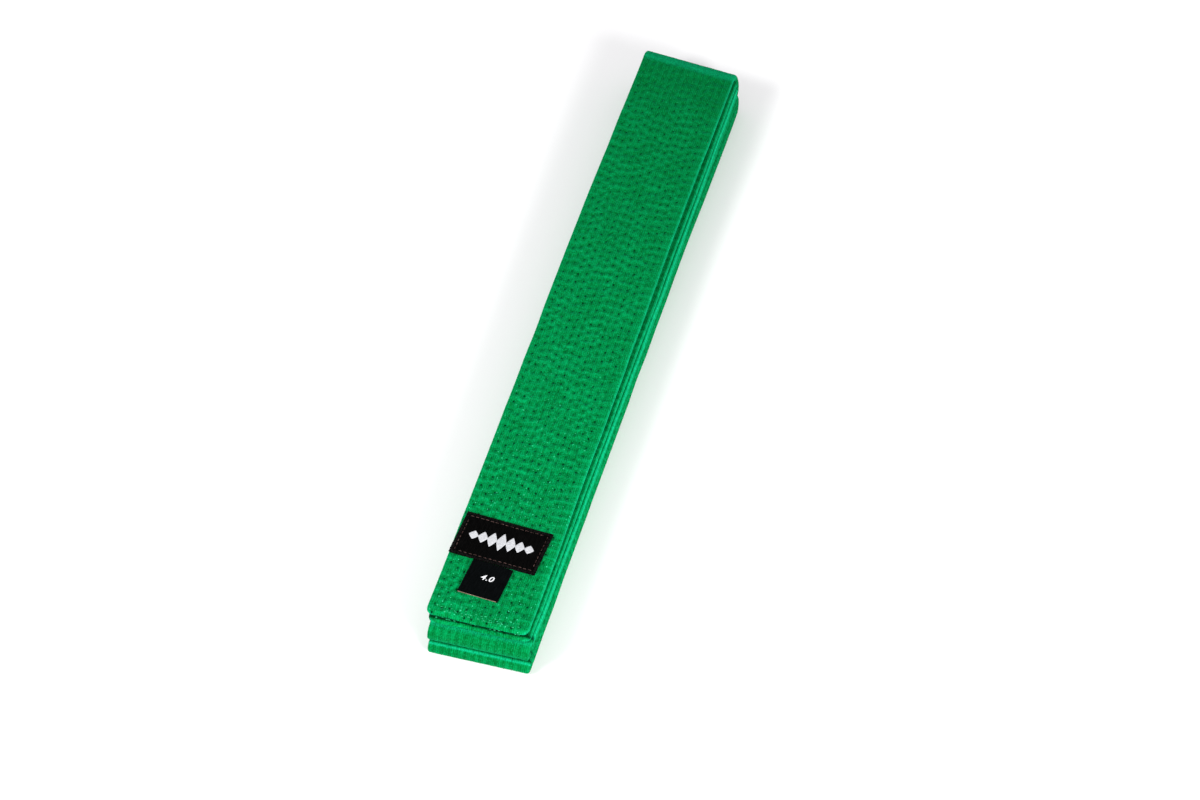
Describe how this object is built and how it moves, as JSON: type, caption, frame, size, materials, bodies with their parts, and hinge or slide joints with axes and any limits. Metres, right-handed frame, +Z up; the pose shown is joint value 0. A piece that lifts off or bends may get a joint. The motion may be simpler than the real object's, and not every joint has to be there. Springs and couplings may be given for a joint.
{
  "type": "folded martial arts belt",
  "caption": "Flat quilted cotton martial arts belt, doubled and folded into a long narrow pack, with a woven label and a small ribbon size tag near its end.",
  "frame": {"origin": "centre of the pack's underside, on the surface it rests on", "axes": "+Y along the pack towards its far folds, with the label at the -Y end; +X across the belt to the label's right; +Z up through the layers"},
  "size_m": [0.04, 0.318, 0.0226],
  "materials": {
    "belt_cotton": "matt cotton, saturated green, rows of quilting",
    "padding": "soft undyed cotton padding",
    "quilting_thread": "matt spun thread, green",
    "label_weave": "close black weave, low sheen",
    "label_thread": "dark brown sewing thread",
    "emblem_thread": "white figured weave",
    "tag_satin": "black satin ribbon, soft sheen",
    "tag_print": "white woven figures"
  },
  "bodies": {
    "run_bottom": {"run_7_cover": "belt_cotton", "run_7_core": "padding", "run_7_quilting": "quilting_thread", "run_8_cover": "belt_cotton", "run_8_core": "padding", "run_8_quilting": "quilting_thread", "bight_centre_cover": "belt_cotton", "bight_centre_core": "padding", "bight_lower_far_outer_cover": "belt_cotton", "bight_lower_far_outer_core": "padding", "bight_lower_far_inner_cover": "belt_cotton", "bight_lower_far_inner_core": "padding"},
    "run_lower_middle": {"run_5_cover": "belt_cotton", "run_5_core": "padding", "run_5_quilting": "quilting_thread", "run_6_cover": "belt_cotton", "run_6_core": "padding", "run_6_quilting": "quilting_thread", "bight_front_outer_cover": "belt_cotton", "bight_front_outer_core": "padding", "bight_front_inner_cover": "belt_cotton", "bight_front_inner_core": "padding"},
    "run_upper_middle": {"run_3_cover": "belt_cotton", "run_3_core": "padding", "run_3_quilting": "quilting_thread", "run_4_cover": "belt_cotton", "run_4_core": "padding", "run_4_quilting": "quilting_thread", "bight_upper_far_outer_cover": "belt_cotton", "bight_upper_far_outer_core": "padding", "bight_upper_far_inner_cover": "belt_cotton", "bight_upper_far_inner_core": "padding"},
    "run_top": {"run_1_cover": "belt_cotton", "run_1_core": "padding", "run_1_quilting": "quilting_thread", "run_2_cover": "belt_cotton", "run_2_core": "padding", "run_2_quilting": "quilting_thread", "run_2_hem_stitching": "quilting_thread"},
    "label_end": {"label_end_cover": "belt_cotton", "label_end_core": "padding", "label_end_quilting": "quilting_thread", "label_end_hem_stitching": "quilting_thread", "label_patch": "label_weave", "label_patch_stitching": "label_thread", "label_emblem": "emblem_thread"},
    "size_tag": {"size_tag": "tag_satin", "size_tag_digit_left": "tag_print", "size_tag_point": "tag_print", "size_tag_digit_right": "tag_print"}
  },
  "joints": [
    {"name": "lower_fold", "type": "hinge", "parent": "run_bottom", "child": "run_lower_middle", "pos_m": [0, 0.15585, 0.00535], "axis": [-1, 0, 0], "range_deg": [0, 176], "deforming": ["bight_lower_far_outer_cover", "bight_lower_far_outer_core", "bight_lower_far_inner_cover", "bight_lower_far_inner_core"]},
    {"name": "front_fold", "type": "hinge", "parent": "run_lower_middle", "child": "run_upper_middle", "pos_m": [0, -0.15505, 0.01085], "axis": [1, 0, 0], "range_deg": [0, 176], "deforming": ["bight_front_outer_cover", "bight_front_outer_core", "bight_front_inner_cover", "bight_front_inner_core"]},
    {"name": "upper_fold", "type": "hinge", "parent": "run_upper_middle", "child": "run_top", "pos_m": [0, 0.15585, 0.01635], "axis": [-1, 0, 0], "range_deg": [0, 176], "deforming": ["bight_upper_far_outer_cover", "bight_upper_far_outer_core", "bight_upper_far_inner_cover", "bight_upper_far_inner_core"]},
    {"name": "label_end_lift", "type": "hinge", "parent": "run_top", "child": "label_end", "pos_m": [0, -0.0345, 0.0217], "axis": [-1, 0, 0], "range_deg": [0, 120]},
    {"name": "tag_flap", "type": "hinge", "parent": "label_end", "child": "size_tag", "pos_m": [-0.0016, -0.1275, 0.0225], "axis": [-1, 0, 0], "range_deg": [0, 150]}
  ],
  "couplings": [
    {"joint": "front_fold", "follows": "lower_fold", "ratio": 1}
  ]
}
